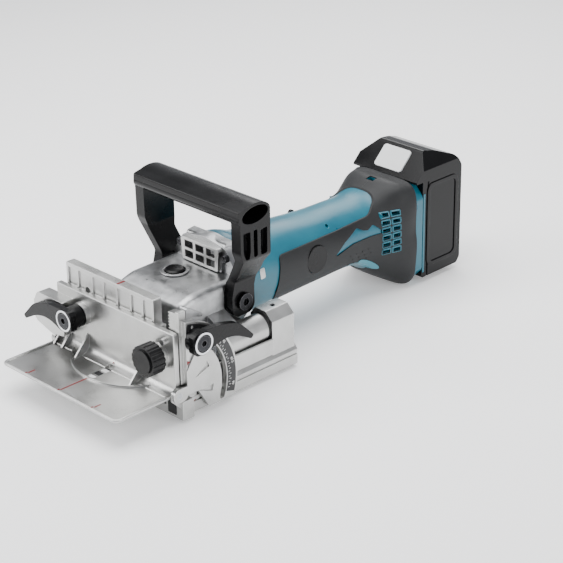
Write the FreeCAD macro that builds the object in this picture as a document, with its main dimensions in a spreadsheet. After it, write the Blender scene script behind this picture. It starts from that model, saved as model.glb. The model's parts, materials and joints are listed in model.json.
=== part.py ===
import FreeCAD, Part
import math
import os
import re

from FreeCAD import Placement, Rotation, Vector

# Cordless biscuit (plate) joiner. Millimetres, +Z up. The fence faces -Y and the battery is at +Y. The motor unit
# slides along Y on two rods, towards -Y. The model is drawn from the face of the fence (y = 0) and the sole (z = 0),
# and written with its origin on the sole's front edge, which is face_front further back.

SIZES = {
    # sled
    "base_half": 68, "face_front": 2.6, "face_depth": 13.4, "deck_top": 18.5, "deck_low": 13.8, "base_end": 126,
    "cavity_half": 53.5, "cavity_end": 107, "kerf_low": 7.2, "kerf_high": 12.8,
    "post_front": 101, "post_inner": 42, "post_outer": 66, "post_top": 51,
    "upright_front": 12.9, "upright_depth": 7.6, "ear_thick": 4, "ear_gap": 0.3,
    # tilt axis of the angle guide
    "tilt_front": 0, "tilt_height": 21.8, "pin_radius": 2.5,
    # rods and sleeves
    "rod_side": 54, "rod_height": 37, "rod_radius": 5, "sleeve_radius": 11.4, "sleeve_bore": 5.06,
    "sleeve_front": 55, "sleeve_rear": 98,
    # blade and gears
    "blade_back": 54, "blade_height": 10, "blade_radius": 50, "blade_half": 1.4,
    # motor and its shells
    "motor_height": 59, "shell_wall": 2.6, "shell_front": 105,
    "mould_skin": 1.1,
    # fence
    "fence_half": 67.9, "tray_depth": 57, "tray_low": 19.5, "tray_top": 22, "plate_back": 4.6, "plate_top": 70,
    "gusset_side": 32, "knob_side": 52.5, "knob_height": 49.5, "lever_side": 37, "lever_height": 53,
    # angle guide
    "guide_front": 5, "guide_back": 11.8, "bar_left": 60.5, "bar_right": 41, "bar_top": 87.5, "rack_side": 65,
    "quadrant_radius": 57.5, "slot_radius": 44.5, "slot_half": 2.6, "lock_angle": 70,
    # D-handle
    "handle_half": 59.7, "leg_thick": 10, "grip_back": 91, "grip_height": 134.5,
    "grip_long": 16.3, "grip_short": 9, "boss_back": 90.5, "boss_height": 59.5, "boss_radius": 11.5,
    "boss_inner": 36.4, "boss_outer": 46,
    # battery
    "seat_front": 300, "seat_rear": 308, "battery_half": 36.3, "battery_front": 308.4, "battery_rear": 358.5,
}

# Rack and pinion of the fence's height setting.
RACK_MODULE = 0.8
PINION_TEETH = 12
PINION_PITCH = RACK_MODULE * PINION_TEETH / 2

doc = FreeCAD.newDocument("biscuit_joiner")
sheet = doc.addObject("Spreadsheet::Sheet", "Sizes")
for row, (alias, amount) in enumerate(SIZES.items(), start=1):
    sheet.set(f"A{row}", alias)
    sheet.set(f"B{row}", str(amount))
    sheet.setAlias(f"B{row}", alias)
doc.recompute()

nodes = {}


# ---------------------------------------------------------------- helpers

def size(alias):
    """A driving dimension, read from the sheet."""
    return float(sheet.get(alias))


def formula(text):
    """An expression over the sheet: every word in it is one of the sheet's aliases."""
    return re.sub(r"[a-z][a-z_]+", lambda word: "Sizes." + word.group(0), str(text))


def bind(thing, **expressions):
    for name, text in expressions.items():
        thing.setExpression(name.replace("__", "."), formula(text))


def unique(kind, name="shape"):
    return doc.addObject(kind, name)


def keep(name, thing):
    """Name a finished sub-part: its Label is its file's name."""
    thing.Label = name
    nodes[name] = thing
    return thing


def box(x, y, z):
    """A box between the given (low, high) formulas."""
    block = unique("Part::Box", "block")
    for side, base, (low, high) in (("Length", "x", x), ("Width", "y", y), ("Height", "z", z)):
        block.setExpression(side, formula(f"({high})-({low})"))
        block.setExpression(f"Placement.Base.{base}", formula(low))
    return block


AXIS_TURN = {
    "x": Rotation(Vector(0, 1, 0), 90),
    "y": Rotation(Vector(1, 0, 0), -90),
    "z": Rotation(),
}


def place_along(thing, axis, start, across):
    """Put a solid built along +Z onto an axis; across gives the other two coordinates in X, Y, Z order."""
    thing.Placement = Placement(Vector(), AXIS_TURN[axis])
    spots = list(across)
    spots.insert("xyz".index(axis), start)
    for name, spot in zip("xyz", spots):
        thing.setExpression(f"Placement.Base.{name}", formula(spot))
    return thing


def rod(axis, radius, low, high, across):
    bar = unique("Part::Cylinder", "rod")
    bind(bar, Radius=radius, Height=f"({high})-({low})")
    return place_along(bar, axis, low, across)


def fuse(*shapes):
    joined = unique("Part::MultiFuse", "fusion")
    joined.Shapes = list(shapes)
    return joined


def cut(base, *tools):
    result = unique("Part::Cut", "cut")
    result.Base = base
    result.Tool = tools[0] if len(tools) == 1 else fuse(*tools)
    return result


def common(*shapes):
    shared = unique("Part::MultiCommon", "common")
    shared.Shapes = list(shapes)
    return shared


def group(*shapes):
    bundle = unique("Part::Compound", "bundle")
    bundle.Links = list(shapes)
    return bundle


def mirrored(shape):
    twin = unique("Part::Mirroring", "twin")
    twin.Source = shape
    twin.Normal = Vector(1, 0, 0)
    return twin


def feature(shape):
    solid = unique("Part::Feature", "solid")
    solid.Shape = shape
    return solid


def fillet(base, radius, choose):
    """Round the edges of base that choose(edge) accepts."""
    doc.recompute()
    rounded = unique("Part::Fillet", "rounded")
    rounded.Base = base
    picked = [i for i, edge in enumerate(base.Shape.Edges, start=1) if choose(edge)]
    rounded.Edges = [(i, radius, radius) for i in picked]
    return rounded


def outline(corners):
    """Lines and tangent arcs through corners (u, v) or (u, v, corner radius)."""
    count = len(corners)
    stops = []
    for i, corner in enumerate(corners):
        here = Vector(corner[0], corner[1], 0)
        radius = corner[2] if len(corner) > 2 else 0
        if not radius:
            stops.append((here, None, here))
            continue
        back = (Vector(*corners[i - 1][:2], 0) - here).normalize()
        ahead = (Vector(*corners[(i + 1) % count][:2], 0) - here).normalize()
        half = back.getAngle(ahead) / 2
        reach = radius / math.tan(half)
        middle = here + (back + ahead).normalize() * (radius / math.sin(half) - radius)
        stops.append((here + back * reach, middle, here + ahead * reach))
    pieces = []
    for i, (enter, middle, leave) in enumerate(stops):
        if middle is not None:
            pieces.append(Part.Arc(enter, middle, leave))
        following = stops[(i + 1) % count][0]
        if (following - leave).Length > 1e-6:
            pieces.append(Part.LineSegment(leave, following))
    return pieces


def oval(u, v, long_half, short_half, turn=0):
    """An ellipse; turn is the angle of its long half in degrees."""
    way = Vector(math.cos(math.radians(turn)), math.sin(math.radians(turn)), 0)
    side = Vector(-way.y, way.x, 0)
    middle = Vector(u, v, 0)
    return [Part.Ellipse(middle + way * long_half, middle + side * short_half, middle)]


def rectangle(u0, u1, v0, v1, radius=0):
    return outline([(u0, v0, radius), (u1, v0, radius), (u1, v1, radius), (u0, v1, radius)])


def sketch_in(body, plane, *loops):
    sketch = body.newObject("Sketcher::SketchObject", "Profile")
    base_plane = [part for part in body.Origin.OriginFeatures if part.Role == plane][0]
    sketch.AttachmentSupport = [(base_plane, "")]
    sketch.MapMode = "FlatFace"
    for loop in loops:
        sketch.addGeometry(loop, False)
    return sketch


def pad(plane, low, high, *loops):
    """A padded sketch between two coordinates on the plane's normal: XY, XZ (u = X) or YZ (u = Y)."""
    body = unique("PartDesign::Body", "Pad")
    sketch = sketch_in(body, plane + "_Plane", *loops)
    start = f"-({high})" if plane == "XZ" else f"({low})"
    sketch.setExpression("AttachmentOffset.Base.z", formula(start))
    block = body.newObject("PartDesign::Pad", "Depth")
    block.Profile = sketch
    block.setExpression("Length", formula(f"({high})-({low})"))
    return body


def turned(axis, start, across, profile):
    """A turned piece; profile lists (distance along the axis, radius) and closes on the axis."""
    points = [(0, profile[0][0])] + [(radius, along) for along, radius in profile] + [(0, profile[-1][0])]
    body = unique("PartDesign::Body", "Turned")
    sketch = sketch_in(body, "XZ_Plane", outline(points))
    turn = body.newObject("PartDesign::Revolution", "Turning")
    turn.Profile = sketch
    turn.ReferenceAxis = (sketch, ["V_Axis"])
    turn.Angle = 360
    return place_along(body, axis, start, across)


def polar(radius, degrees, centre):
    angle = math.radians(degrees)
    return (centre[0] + radius * math.cos(angle), centre[1] + radius * math.sin(angle))


def sector(inner, outer, start, end, centre):
    """A ring sector from start to end degrees, counter-clockwise."""
    def arc(radius, first, last):
        spots = [Vector(*polar(radius, a, centre), 0) for a in (first, (first + last) / 2, last)]
        return Part.Arc(*spots)

    def line(angle, first, last):
        return Part.LineSegment(Vector(*polar(first, angle, centre), 0), Vector(*polar(last, angle, centre), 0))

    return [arc(outer, start, end), line(end, outer, inner), arc(inner, end, start), line(start, inner, outer)]


# ---------------------------------------------------------------- sled (root)

TILT = (size("tilt_front"), size("tilt_height"))
LOCK = polar(size("slot_radius"), size("lock_angle"), TILT)
TURRET = (-47, 56)
PORT = (80, 13)
HINGE = (size("cavity_end") + 1.2, 3.1)
COVER_SCREW = (44, 22)


def base_side():
    """What the sled has on both sides, built at +X: rail, rear post, rod upright and tilt ear."""
    rail = pad("XZ", "face_front", "base_end", outline([
        (40, 0), (size("base_half") - 1.2, 0), (size("base_half"), 1.2), (size("base_half"), 8.9),
        (size("base_half") - 1.2, 9.4), (size("base_half") - 1.2, 10.4), (size("base_half"), 10.9),
        (size("base_half"), 13.4), (size("base_half") - 4.5, size("deck_top")), (40, size("deck_top"))]))
    post = pad("XZ", "post_front", "base_end - 1.5", outline([
        (size("post_inner"), 10), (size("post_outer"), 10), (size("post_outer"), 44, 1.5),
        (size("post_outer") - 7, size("post_top"), 1.5), (size("post_inner") + 5, size("post_top"), 1.5),
        (size("post_inner"), 45, 1.5)]))
    upright = box(("46", "62"), ("upright_front", "upright_front + upright_depth"), ("15", "46"))
    cheek = pad("XZ", "20", "post_front + 1", outline([
        (57, 17), (66.4, 17), (66.4, 31.5, 1), (63.5, 29), (59, 25.2), (57, 24.8)]))
    ear = pad("YZ", "base_half - 1", "base_half + ear_gap + ear_thick", outline([
        (size("face_front"), 0), (13.5, 0), (13.5, 15.8, 1.5), (size("face_front"), 15.8)]))
    lug = pad("YZ", "base_half + ear_gap", "base_half + ear_gap + 1.8", outline([
        (-5.5, TILT[1] + 5.5, 5.4), (5.5, TILT[1] + 5.5, 5.4), (5.5, 12), (size("face_front"), 10), (-5.5, 18, 2)]))
    web = box(("base_half - 1", "base_half + ear_gap + 1.8"), ("face_front", "5.5"), ("10", "15.8"))
    return [rail, post, upright, cheek, ear, lug, web]


def make_base():
    right = base_side()
    left = [mirrored(piece) for piece in base_side()]
    front = pad("YZ", "-base_half + 1", "base_half - 1", rectangle(
        size("face_front"), size("face_front") + size("face_depth"), 0, size("deck_top")))
    deck = box(("-45", "45"), ("15", "cavity_end + 8"), ("deck_low", "deck_top"))
    rear = box(("-45", "45"), ("cavity_end", "base_end"), ("0", "deck_top"))
    lock_upright = pad("YZ", "58", "base_half - 0.2", outline([
        (size("upright_front"), 14), (20.4, 14), (20.4, 74), (18.4, 77), (size("upright_front"), 77)]))
    turret_post = pad("XZ", "upright_front", "upright_front + upright_depth", outline([
        (-66, 15), (-41, 15), (-41, 63, 4), (-56, 63, 4), (-66, 50, 3)]))
    port = rod("x", "12", "-base_half - 4", "-cavity_half + 2.5", PORT)
    kerf = box(("-cavity_half", "cavity_half"), ("-5", "cavity_end"), ("kerf_low", "kerf_high"))
    cavity = box(("-cavity_half", "cavity_half"), ("face_front + face_depth", "cavity_end"), ("-1", "deck_low"))
    spindle_slot = pad("XY", "5", "30", rectangle(-13, 13, 19.5, 67.5, 12.9))
    port_bore = rod("x", "8.5", "-base_half - 5", "-cavity_half + 0.1", PORT)
    rod_holes = [rod("y", "rod_radius", "upright_front - 1", "base_end", (f"{side}rod_side", "rod_height"))
                 for side in ("", "-")]
    pin_holes = [rod("x", "pin_radius", low, high, ("tilt_front", "tilt_height"))
                 for low, high in (("base_half", "base_half + 3"), ("-base_half - 3", "-base_half"))]
    bolt_hole = rod("x", "2.4", "55", "70", LOCK)
    turret_hole = rod("y", "2", "10", "25", TURRET)
    screw_holes = [rod("z", "2.4", "42", "60", (f"{side}rod_side", "113")) for side in ("", "-")]
    pad_pockets = [front_pad_shape(side, 0) for side in (1, -1)]
    screw_lug = cut(box(("39.5", "cavity_half + 1"), ("15", "27.4"), ("3.3", "kerf_low - 0.2")),
                    rod("z", "2.2", "0", "10", COVER_SCREW))
    hinge_hole = rod("x", "1.6", "-50", "50", HINGE)
    hinge_relief = box(("-44", "44"), ("cavity_end - 1", "cavity_end + 5.9"), ("-1", "6"))
    carved = cut(fuse(*right, *left, front, deck, rear, lock_upright, turret_post, port),
                 kerf, cavity, spindle_slot, port_bore, *rod_holes, *pin_holes, bolt_hole, turret_hole,
                 *screw_holes, *pad_pockets, hinge_hole, hinge_relief)
    keep("base_casting", fuse(carved, screw_lug))


def front_pad_shape(side, proud):
    """The rubber tip let into the front face, beside the kerf."""
    u = sorted((side * 55.5, side * 65))
    return pad("XZ", f"face_front - {proud}", "face_front + 4", outline([
        (u[0], 2.5, 1), (u[1], 2.5, 1), (u[1], 15, 1), (u[0], 15, 1)]))


def make_base_fittings():
    keep("front_pads", group(front_pad_shape(1, 0.2), front_pad_shape(-1, 0.2)))
    rods = [rod("y", "rod_radius", "upright_front", "base_end - 1.8", (f"{side}rod_side", "rod_height"))
            for side in ("", "-")]
    keep("guide_rods", group(*rods))
    bumpers = [cut(rod("y", "sleeve_radius - 0.6", "sleeve_rear + 0.1", "post_front", at),
                   rod("y", "rod_radius", "sleeve_rear", "post_front + 1", at))
               for at in (("rod_side", "rod_height"), ("-rod_side", "rod_height"))]
    keep("rod_bumpers", group(*bumpers))
    screws = [turned("z", "42.2", (f"{side}rod_side", "113"), [(0, 2.3), (8.2, 2.3)]) for side in ("", "-")]
    sockets = [pad("XY", "48.2", "52", outline(hexagon((side * size("rod_side"), 113), 1.4)))
               for side in (1, -1)]
    keep("post_screws", group(*[cut(screw, socket) for screw, socket in zip(screws, sockets)]))
    pins = [turned("x", start, ("tilt_front", "tilt_height"), profile) for start, profile in (
        ("base_half + ear_gap", [(0, size("pin_radius")), (4.1, size("pin_radius"))]),
        ("-base_half - ear_gap - 4.1", [(0, size("pin_radius")), (4.1, size("pin_radius"))]))]
    keep("tilt_pins", group(*pins))
    keep("hinge_pin", rod("x", "1.6", "-48", "48", HINGE))


def hexagon(centre, reach):
    return [polar(reach, 60 * i, centre) for i in range(6)]


def make_blade_cover():
    """The plate under the blade cavity, hinged at its rear edge."""
    front = size("face_front") + size("face_depth") + 0.4
    plate = pad("XY", "0.5", "3", rectangle(-53, 53, front, size("cavity_end") - 1.4, 3))
    knuckle = rod("x", "2.6", "-43.5", "43.5", HINGE)
    leaf = box(("-43.5", "43.5"), ("cavity_end - 2", "cavity_end + 1.2"), ("0.5", "2.9"))
    bore = rod("x", "1.66", "-50", "50", HINGE)
    ribs = [box((str(x), str(x + 1.6)), (str(front + 8), "cavity_end - 12"), ("2.8", "4")) for x in (-31, -0.8, 29)]
    bolt_seat = rod("z", "2.1", "0", "4", COVER_SCREW)
    corners = [box(side, ("cavity_end - 6", "cavity_end"), ("0", "5")) for side in (("43.5", "54"), ("-54", "-43.5"))]
    keep("blade_cover", cut(fuse(cut(plate, *corners), knuckle, leaf, *ribs), bore, bolt_seat))
    screw = rod("z", "2.1", "0.6", "5.6", COVER_SCREW)
    keep("cover_screw", cut(screw, box(("41", "47"), ("21.6", "22.4"), ("0", "1.3"))))


def make_upright_cap():
    """Sloping guard screwed over the locking upright, behind the angle guide."""
    plate = pad("YZ", "59.4", "66.4", outline([
        (14.4, 84.6, 1), (15.4, 86.2, 1), (31.4, 76.2, 1), (30.2, 74.2, 1), (20.5, 77), (20.5, 72), (20.4, 72),
        (20.4, 74), (18.4, 77), (14.4, 77)]))
    keep("upright_cap", plate)


def make_turret():
    """Depth stop: a disc with steps of different heights; the screw passes the open place at rest."""
    spots = [polar(5.2, 60 * i, TURRET) for i in range(6)]
    disc = rod("y", "7.4", "upright_front + upright_depth + 0.3", "26.5", TURRET)
    stem = rod("y", "1.9", "upright_front - 0.3", "24", TURRET)
    steps = [rod("y", "2", "26", str(27.5 + 2.4 * i), spot) for i, spot in enumerate(spots) if i]
    keep("depth_turret", fuse(disc, stem, *steps))


make_base()
make_base_fittings()
make_blade_cover()
make_upright_cap()
make_turret()


# ---------------------------------------------------------------- angle guide

def make_angle_guide():
    """Back plate, windowed bar, quadrant with its curved slot, and the left arm: one casting."""
    top = size("plate_top") - 2
    back = pad("XZ", "guide_front", "guide_back", rectangle(-62, 66, 24, top))
    link = box(("60", "base_half + ear_gap + 0.5"), ("guide_front", "guide_back"), ("28", "66"))
    bar = pad("XZ", "guide_front", "guide_back + 1", outline([
        (-size("bar_left"), 60), (size("bar_right"), 60), (size("bar_right"), size("bar_top"), 1),
        (-size("bar_left"), size("bar_top"), 1)]))
    rail = pad("XZ", "guide_front", "guide_back", outline([
        (64, 60), (68.4, 60), (68.4, 86, 1), (64, 86, 1)]))
    windows = []
    left = -size("bar_left") + 2.2
    for width in (10.2, 15, 11.4, 13.8, 13.8, 11.4, 9.5):
        windows.append(pad("XZ", "guide_front - 1", "guide_front + 1.1", rectangle(left, left + width, 69.5, 84.4, 0.8)))
        left += width + 2
    lever_slot = pad("XZ", "0", "20", rectangle(-size("lever_side") - 2.7, -size("lever_side") + 2.7,
                                                size("lever_height") - 3, size("lever_height") + 20, 2.65))
    nut_channel = box(("-lever_side - 5.3", "-lever_side + 5.3"), ("guide_back - 3.8", "guide_back + 2"),
                      ("lever_height - 6", "lever_height + 22.6"))
    pinion_window = box(("knob_side - 6", "rack_side"), ("0", "20"), ("knob_height - 8", "bar_top"))
    quadrant = pad("YZ", "base_half + ear_gap", "base_half + ear_gap + ear_thick", quadrant_outline(),
                   sector(size("slot_radius") - size("slot_half"), size("slot_radius") + size("slot_half"),
                          size("lock_angle") - 90, size("lock_angle"), TILT))
    slot_ends = [rod("x", "slot_half", "base_half", "base_half + 6", polar(size("slot_radius"), angle, TILT))
                 for angle in (size("lock_angle") - 90, size("lock_angle"))]
    wedges = [pad("YZ", "base_half + ear_gap + ear_thick - 1.2", "base_half + 6", outline([
        polar(18.5, angle, TILT), polar(33, angle - 5, TILT), polar(34, angle + 5, TILT)]))
        for angle in (-8, 30, 66)]
    lugs = [pad("YZ", low, high, outline([
        (-5.5, 16.3, 5.4), (5.5, 16.3, 5.4), (9, 20.2), (9, 27.3), (-5.5, 27.3, 5.4)]))
        for low, high in (("base_half + ear_gap + 2.1", "base_half + ear_gap + ear_thick"),
                          ("-base_half - ear_gap - ear_thick", "-base_half - ear_gap - 2.1"))]
    arm = pad("YZ", "-base_half - ear_gap - ear_thick", "-base_half - ear_gap", outline([
        (8, 20.2), (size("guide_back"), 20.2, 2), (size("guide_back"), 62, 3), (size("guide_front"), 62, 2),
        (size("guide_front"), 27.3), (8, 27.3)]))
    arm_link = box(("-base_half - ear_gap - 0.5", "-60"), ("guide_front", "guide_back"), ("28", "60"))
    pin_holes = [rod("x", "pin_radius + 0.05", low, high, ("tilt_front", "tilt_height"))
                 for low, high in (("base_half + 1", "base_half + 6"), ("-base_half - 6", "-base_half - 1"))]
    solid = fuse(back, link, bar, rail, quadrant, *lugs, arm, arm_link)
    keep("guide_casting", cut(solid, *windows, lever_slot, nut_channel, pinion_window, *slot_ends, *wedges, *pin_holes))


def quadrant_outline():
    """Fan with a vertical front edge, a round rear edge and a level foot just above the sole."""
    radius = size("quadrant_radius")
    foot = 2.6
    front = 8
    top = TILT[1] + math.sqrt(radius ** 2 - (front - TILT[0]) ** 2)
    end = TILT[0] + math.sqrt(radius ** 2 - (foot - TILT[1]) ** 2)
    middle = polar(radius, 35, TILT)
    arc = Part.Arc(Vector(front, top, 0), Vector(*middle, 0), Vector(end, foot, 0))
    corners = [(end, foot), (29, foot), (18.5, 19.9), (front, 20.2), (front, top)]
    lines = [Part.LineSegment(Vector(*a, 0), Vector(*b, 0)) for a, b in zip(corners, corners[1:])]
    return [arc] + lines


def make_guide_fittings():
    outer = "base_half + ear_gap + ear_thick"
    keep("angle_scale", pad("YZ", outer, f"{outer} + 0.35", sector(
        size("slot_radius") + 3.6, size("quadrant_radius") - 1.6, -16, 80, TILT)))
    pitch = math.pi * RACK_MODULE
    line = size("knob_side") + PINION_PITCH
    low = size("knob_height") - 3 * pitch
    back = size("rack_side")
    count = int((85.5 - low) / pitch)
    points = [(back, low), (back, low + count * pitch)]
    for i in reversed(range(count)):
        start = low + i * pitch
        points += [(line + 1.1, start + 0.81 * pitch), (line - 0.55, start + 0.6 * pitch),
                   (line - 0.55, start + 0.4 * pitch), (line + 1.1, start + 0.19 * pitch)]
    points += [(line + 1.1, low)]
    keep("height_rack", pad("XZ", "guide_front + 0.4", "guide_back", outline(points)))


LEVER = [(-9, -6), (-6, -9, 3), (4, -9, 3), (20, -3, 30), (34, -6, 30), (48, -13.5, 1.6), (50.5, -11, 1.6),
         (36, 4, 22), (18, 8.6, 25), (4, 9, 3), (-6, 9, 3), (-9, 6)]


def lever_outline(turn=1, centre=(0, 0)):
    """The swept lever arm, pointing along +u or, with turn -1, along -u."""
    return outline([(centre[0] + turn * corner[0], centre[1] + corner[1], *corner[2:]) for corner in LEVER])


def make_lock_levers():
    outer = size("base_half") + size("ear_gap") + size("ear_thick") + 0.7
    hub = rod("x", "9", str(outer), str(outer + 11), LOCK)
    arm = pad("YZ", str(outer + 4.4), str(outer + 10), lever_outline(1, LOCK))
    seat = rod("x", "6.3", str(outer + 8.4), str(outer + 12), LOCK)
    bore = rod("x", "2.5", str(outer - 1), str(outer + 12), LOCK)
    keep("angle_lever", cut(fuse(hub, arm), seat, bore))
    bolt = turned("x", "base_half - 6", LOCK, [(0, 2.35), (19.4, 2.35), (19.4, 6), (22.2, 6)])
    socket = pad("YZ", "base_half + 14.2", "base_half + 18", outline(hexagon(LOCK, 2.6)))
    keep("angle_lever_bolt", cut(bolt, socket))

    at = ("-lever_side", "lever_height")
    centre = (-size("lever_side"), size("lever_height"))
    hub = rod("y", "9", "-15.4", "-4.4", at)
    arm = pad("XZ", "-19", "-13.4", lever_outline(-1, centre))
    face = rod("y", "9", "-19", "-15", at)
    seat = rod("y", "6.3", "-20", "-16.8", at)
    bore = rod("y", "2.5", "-20", "0", at)
    keep("fence_lever", cut(fuse(hub, face, arm), seat, bore))
    bolt = turned("y", "-19.4", at, [(0, 6), (2.6, 6), (2.6, 2.35), (30.9, 2.35)])
    socket = pad("XZ", "-20", "-17.6", outline(hexagon(centre, 2.6)))
    nut = box(("-lever_side - 5", "-lever_side + 5"), ("guide_back - 3.4", "guide_back - 0.4"),
              ("lever_height - 5", "lever_height + 5"))
    nut_bore = rod("y", "2.35", "5", "20", at)
    keep("fence_lever_bolt", cut(bolt, socket))
    keep("fence_lever_nut", cut(nut, nut_bore))


# ---------------------------------------------------------------- fence

def make_fence():
    half = size("fence_half")
    depth = size("tray_depth")
    low, top = size("tray_low"), size("tray_top")
    tray = pad("XY", "tray_low", "tray_top", outline([
        (-half, 1), (-half, -depth, 5), (half, -depth, 5), (half, 1)]))
    tray = fillet(tray, 1, lambda edge: edge.BoundBox.YMax < -depth + 6 or edge.BoundBox.XLength < 0.1
                  and edge.BoundBox.ZLength < 0.1)
    recess = pad("XY", "tray_top - 0.6", "tray_top + 1", outline([
        (3 - half, -2), (3 - half, 3 - depth, 3), (half - 3, 3 - depth, 3), (half - 3, -2)]))
    tray = cut(tray, recess)
    plate = pad("XZ", "0", "plate_back", outline([
        (-half, low), (half, low), (half, size("plate_top"), 1.5), (-half, size("plate_top"), 1.5)]))
    plate = fillet(plate, 0.8, lambda edge: edge.BoundBox.ZMin > size("plate_top") - 0.1)
    hollow = pad("YZ", "-fence_half", "fence_half", outline([
        (-8, top - 1), (-8, top), (0, top, 8), (0, top + 8), (1, top + 8), (1, top - 1)]))
    gussets = [pad("YZ", f"{side}gusset_side - 0.8", f"{side}gusset_side + 0.8", outline([
        (-16, top), (-14.5, top), (1, 39), (1, top - 1), (-16, top - 1)])) for side in ("", "-")]
    rib_centre = ("0", "26.2")
    rib = common(cut(rod("z", "54.8", "tray_top - 1", "tray_top + 0.9", rib_centre),
                     rod("z", "53.5", "tray_top - 2", "tray_top + 2", rib_centre)),
                 box(("-46", "46"), ("-40", "1"), ("0", "40")))
    block = pad("XZ", "-11", "0.5", outline([
        (-79, 61.5, 3), (-48, 61.5, 1), (-48, 33, 2), (-64, 31, 8), (-84, 37, 6), (-84, 53, 6)]))
    stems = [pad("YZ", str(x), str(x + 1.8), outline([
        (-10.5, top - 1), (-1.2, top + 9), (-1.2, 33), (1, 33), (1, top - 1)])) for x in (-65, -55)]
    collar = rod("y", "9.4", "-4.8", "1", ("knob_side", "knob_height"))
    boss = rod("y", "9.4", "-4", "1", ("-lever_side", "lever_height"))
    stop_boss = rod("y", "2.6", "-3.4", "1", ("knob_side + 6", "knob_height + 13"))
    solid = fuse(tray, plate, hollow, *gussets, rib, block, *stems, collar, boss, stop_boss)
    window = pad("XY", "10", "30", outline([(-3.6, -26.5, 3.5), (3.6, -26.5, 3.5), (3.6, -3.5, 0.5),
                                            (-3.6, -3.5, 0.5)]))
    knob_bore = rod("y", "3.06", "-10", "10", ("knob_side", "knob_height"))
    lever_bore = rod("y", "2.45", "-10", "10", ("-lever_side", "lever_height"))
    keep("fence_plate", cut(solid, window, knob_bore, lever_bore))


def make_height_knob():
    centre = (size("knob_side"), size("knob_height"))
    at = ("knob_side", "knob_height")
    grip = rod("y", "12.3", "-17", "-5.2", at)
    scallops = [rod("y", "1.3", "-18", "0", polar(13, 20 * i, centre)) for i in range(18)]
    cap = rod("y", "9.4", "-18.4", "-16.8", at)
    bore = rod("y", "3", "-14", "0", at)
    keep("height_knob", cut(fuse(cut(grip, *scallops), cap), bore))
    shaft = rod("y", "3", "-14", "guide_back - 0.3", at)
    teeth = []
    for i in range(PINION_TEETH):
        middle = 360 / PINION_TEETH * i
        teeth += [polar(PINION_PITCH - 1.0, middle - 9.2, centre), polar(PINION_PITCH + 0.6, middle - 3.6, centre),
                  polar(PINION_PITCH + 0.6, middle + 3.6, centre), polar(PINION_PITCH - 1.0, middle + 9.2, centre)]
    pinion = pad("XZ", "guide_front + 0.6", "guide_back - 0.3", outline(teeth))
    keep("pinion_shaft", fuse(shaft, pinion))


make_angle_guide()
make_guide_fittings()
make_lock_levers()
make_fence()
make_height_knob()


# ---------------------------------------------------------------- gear housing and blade

SPINDLE = ("0", "blade_back")
RING_GEAR_LOW = size("motor_height") - 15
LOCK_BUTTON = (-8, 69)
STOP_SCREW = (-42.4, 56)
COVER_SCREWS = [(25.6, 88), (-25.6, 88), (28.4, 36), (-28.4, 36)]
GRILLE_OUTLINE = [(-20, 76.2, 1.5), (20, 76.2, 1.5), (21.6, 95, 2.5), (-21.6, 95, 2.5)]


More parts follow.
